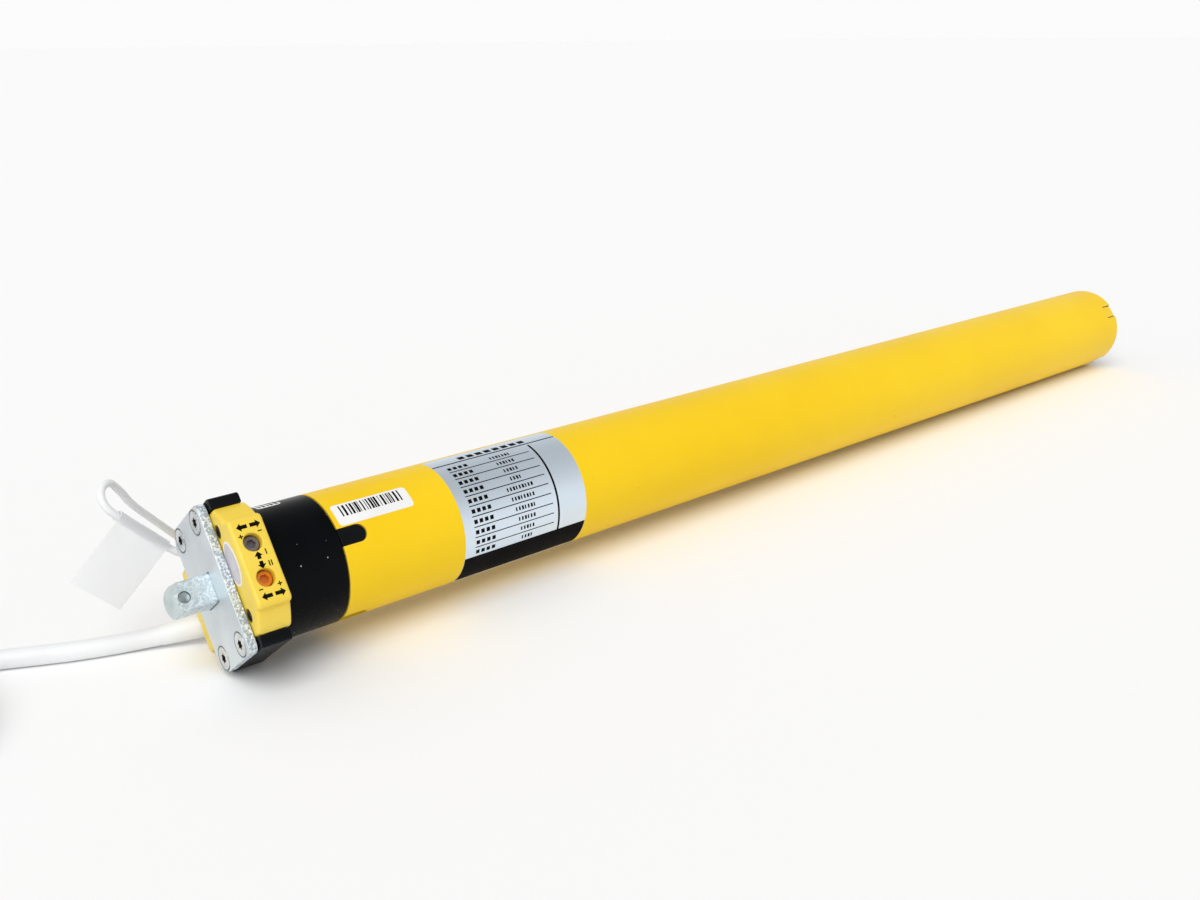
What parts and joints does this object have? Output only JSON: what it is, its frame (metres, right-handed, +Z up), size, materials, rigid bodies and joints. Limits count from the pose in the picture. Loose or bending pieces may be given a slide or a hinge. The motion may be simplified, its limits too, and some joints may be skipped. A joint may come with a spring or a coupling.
{
  "type": "tubular roller shutter motor",
  "caption": "Tubular shutter motor: yellow tube, black limit ring, head with mounting plate, square stub, limit screws and cord; planet gears, brake and capacitor motor inside.",
  "frame": {"origin": "middle of the motor's footprint on the floor, its cords left out", "axes": "+X along the tube from the head to the output shaft, +Z up, so -Y faces the viewer with the limit screws"},
  "size_m": [0.7513, 0.1095, 0.0626],
  "materials": {
    "yellow_paint": "satin yellow powder coat",
    "yellow_plastic": "smooth moulded yellow plastic",
    "black_plastic": "smooth moulded black plastic",
    "zinc": "zinc-plated steel",
    "steel": "machined steel",
    "black_steel": "blackened steel",
    "grey_plastic": "grey moulded plastic",
    "orange_plastic": "orange moulded plastic",
    "white_sheath": "soft white cord sheath",
    "white_film": "white film",
    "brown_sheath": "brown core insulation",
    "green_sheath": "green core insulation",
    "blue_sheath": "blue core insulation",
    "board_green": "circuit board",
    "cast_alloy": "die-cast alloy",
    "laminate": "stacked steel laminations",
    "copper": "lacquered copper wire",
    "white_plastic": "white moulded plastic",
    "friction": "brake lining",
    "brass": "sintered bush metal"
  },
  "bodies": {
    "housing": {"motor_tube": "yellow_paint", "limit_cover": "yellow_plastic", "cable_cover": "yellow_plastic", "head_body": "black_plastic", "coil_tie": "black_plastic", "mounting_plate": "zinc", "square_stub": "zinc", "plate_screw_1": "zinc", "plate_screw_2": "zinc", "plate_screw_3": "zinc", "plate_screw_4": "zinc", "limit_cover_screw_1": "black_steel", "limit_cover_screw_2": "black_steel", "cable_cover_screw_1": "black_steel", "cable_cover_screw_2": "black_steel", "limit_switch_unit": "grey_plastic", "cord_gland": "white_sheath", "power_cord": "white_sheath", "power_cord_coil": "white_sheath", "antenna_wire": "white_sheath", "antenna_tag": "white_film", "cord_core_1": "brown_sheath", "cord_core_2": "green_sheath", "cord_core_3": "blue_sheath", "receiver_board": "board_green", "run_capacitor": "white_plastic", "motor_front_bell": "cast_alloy", "motor_rear_bell": "cast_alloy", "brake_housing": "cast_alloy", "end_cap": "cast_alloy", "stator_core": "laminate", "winding_front": "copper", "winding_rear": "copper", "bearing_front": "steel", "bearing_rear": "steel", "brake_spring": "steel", "ring_gear": "steel", "output_bush": "brass"},
    "rotor": {"rotor_core": "laminate", "rotor_shaft": "steel", "brake_disc": "friction"},
    "stage_1": {"carrier_1": "steel"},
    "stage_2": {"carrier_2": "steel"},
    "output": {"output_carrier": "steel"},
    "planet_1_1": {"planet_1_1": "steel"},
    "planet_1_2": {"planet_1_2": "steel"},
    "planet_1_3": {"planet_1_3": "steel"},
    "planet_2_1": {"planet_2_1": "steel"},
    "planet_2_2": {"planet_2_2": "steel"},
    "planet_2_3": {"planet_2_3": "steel"},
    "planet_3_1": {"planet_3_1": "steel"},
    "planet_3_2": {"planet_3_2": "steel"},
    "planet_3_3": {"planet_3_3": "steel"},
    "limit_ring": {"limit_ring": "black_plastic"},
    "limit_input_gear": {"limit_input_gear": "white_plastic"},
    "limit_screw_up": {"limit_screw_up": "grey_plastic"},
    "limit_screw_down": {"limit_screw_down": "orange_plastic"},
    "brake_armature": {"brake_armature": "steel"}
  },
  "joints": [
    {"name": "rotor_spin", "type": "hinge", "parent": "housing", "child": "rotor", "pos_m": [-0.24749, -0.00159, 0.02875], "axis": [0.9999, 0, -0.0119], "continuous": true},
    {"name": "carrier_1_spin", "type": "hinge", "parent": "housing", "child": "stage_1", "pos_m": [-0.24749, -0.00159, 0.02875], "axis": [0.9999, 0, -0.0119], "continuous": true},
    {"name": "planet_1_1_spin", "type": "hinge", "parent": "stage_1", "child": "planet_1_1", "pos_m": [-0.24738, 0.00535, 0.03789], "axis": [0.9999, 0, -0.0119], "continuous": true},
    {"name": "planet_1_2_spin", "type": "hinge", "parent": "stage_1", "child": "planet_1_2", "pos_m": [-0.24747, -0.01298, 0.03019], "axis": [0.9999, 0, -0.0119], "continuous": true},
    {"name": "planet_1_3_spin", "type": "hinge", "parent": "stage_1", "child": "planet_1_3", "pos_m": [-0.24762, 0.00285, 0.01817], "axis": [0.9999, 0, -0.0119], "continuous": true},
    {"name": "carrier_2_spin", "type": "hinge", "parent": "housing", "child": "stage_2", "pos_m": [-0.24749, -0.00159, 0.02875], "axis": [0.9999, 0, -0.0119], "continuous": true},
    {"name": "planet_2_1_spin", "type": "hinge", "parent": "stage_2", "child": "planet_2_1", "pos_m": [-0.24738, 0.00535, 0.03789], "axis": [0.9999, 0, -0.0119], "continuous": true},
    {"name": "planet_2_2_spin", "type": "hinge", "parent": "stage_2", "child": "planet_2_2", "pos_m": [-0.24747, -0.01298, 0.03019], "axis": [0.9999, 0, -0.0119], "continuous": true},
    {"name": "planet_2_3_spin", "type": "hinge", "parent": "stage_2", "child": "planet_2_3", "pos_m": [-0.24762, 0.00285, 0.01817], "axis": [0.9999, 0, -0.0119], "continuous": true},
    {"name": "output_spin", "type": "hinge", "parent": "housing", "child": "output", "pos_m": [-0.24749, -0.00159, 0.02875], "axis": [0.9999, 0, -0.0119], "continuous": true},
    {"name": "planet_3_1_spin", "type": "hinge", "parent": "output", "child": "planet_3_1", "pos_m": [-0.24738, 0.00535, 0.03789], "axis": [0.9999, 0, -0.0119], "continuous": true},
    {"name": "planet_3_2_spin", "type": "hinge", "parent": "output", "child": "planet_3_2", "pos_m": [-0.24747, -0.01298, 0.03019], "axis": [0.9999, 0, -0.0119], "continuous": true},
    {"name": "planet_3_3_spin", "type": "hinge", "parent": "output", "child": "planet_3_3", "pos_m": [-0.24762, 0.00285, 0.01817], "axis": [0.9999, 0, -0.0119], "continuous": true},
    {"name": "limit_ring_spin", "type": "hinge", "parent": "housing", "child": "limit_ring", "pos_m": [-0.24749, -0.00159, 0.02875], "axis": [0.9999, 0, -0.0119], "continuous": true},
    {"name": "limit_gear_spin", "type": "hinge", "parent": "housing", "child": "limit_input_gear", "pos_m": [-0.24761, -0.00921, 0.01872], "axis": [0.9999, 0, -0.0119], "continuous": true},
    {"name": "limit_screw_up_turn", "type": "hinge", "parent": "housing", "child": "limit_screw_up", "pos_m": [-0.27663, 0.00198, 0.0338], "axis": [0.0072, -0.7963, 0.6049], "continuous": true},
    {"name": "limit_screw_down_turn", "type": "hinge", "parent": "housing", "child": "limit_screw_down", "pos_m": [-0.27674, -0.00516, 0.0244], "axis": [0.0072, -0.7963, 0.6049], "continuous": true},
    {"name": "brake_release", "type": "slide", "parent": "housing", "child": "brake_armature", "axis": [0.9999, 0, -0.0119], "range_m": [0, 0.0006], "stiffness_N_per_m": 2000, "springref_m": -0.005}
  ],
  "couplings": [
    {"joint": "carrier_1_spin", "follows": "rotor_spin", "ratio": 0.22222},
    {"joint": "planet_1_1_spin", "follows": "rotor_spin", "ratio": -0.62222},
    {"joint": "planet_1_2_spin", "follows": "rotor_spin", "ratio": -0.62222},
    {"joint": "planet_1_3_spin", "follows": "rotor_spin", "ratio": -0.62222},
    {"joint": "carrier_2_spin", "follows": "rotor_spin", "ratio": 0.049383},
    {"joint": "planet_2_1_spin", "follows": "rotor_spin", "ratio": -0.13827},
    {"joint": "planet_2_2_spin", "follows": "rotor_spin", "ratio": -0.13827},
    {"joint": "planet_2_3_spin", "follows": "rotor_spin", "ratio": -0.13827},
    {"joint": "output_spin", "follows": "rotor_spin", "ratio": 0.010974},
    {"joint": "planet_3_1_spin", "follows": "rotor_spin", "ratio": -0.030727},
    {"joint": "planet_3_2_spin", "follows": "rotor_spin", "ratio": -0.030727},
    {"joint": "planet_3_3_spin", "follows": "rotor_spin", "ratio": -0.030727},
    {"joint": "limit_gear_spin", "follows": "limit_ring_spin", "ratio": 3}
  ]
}
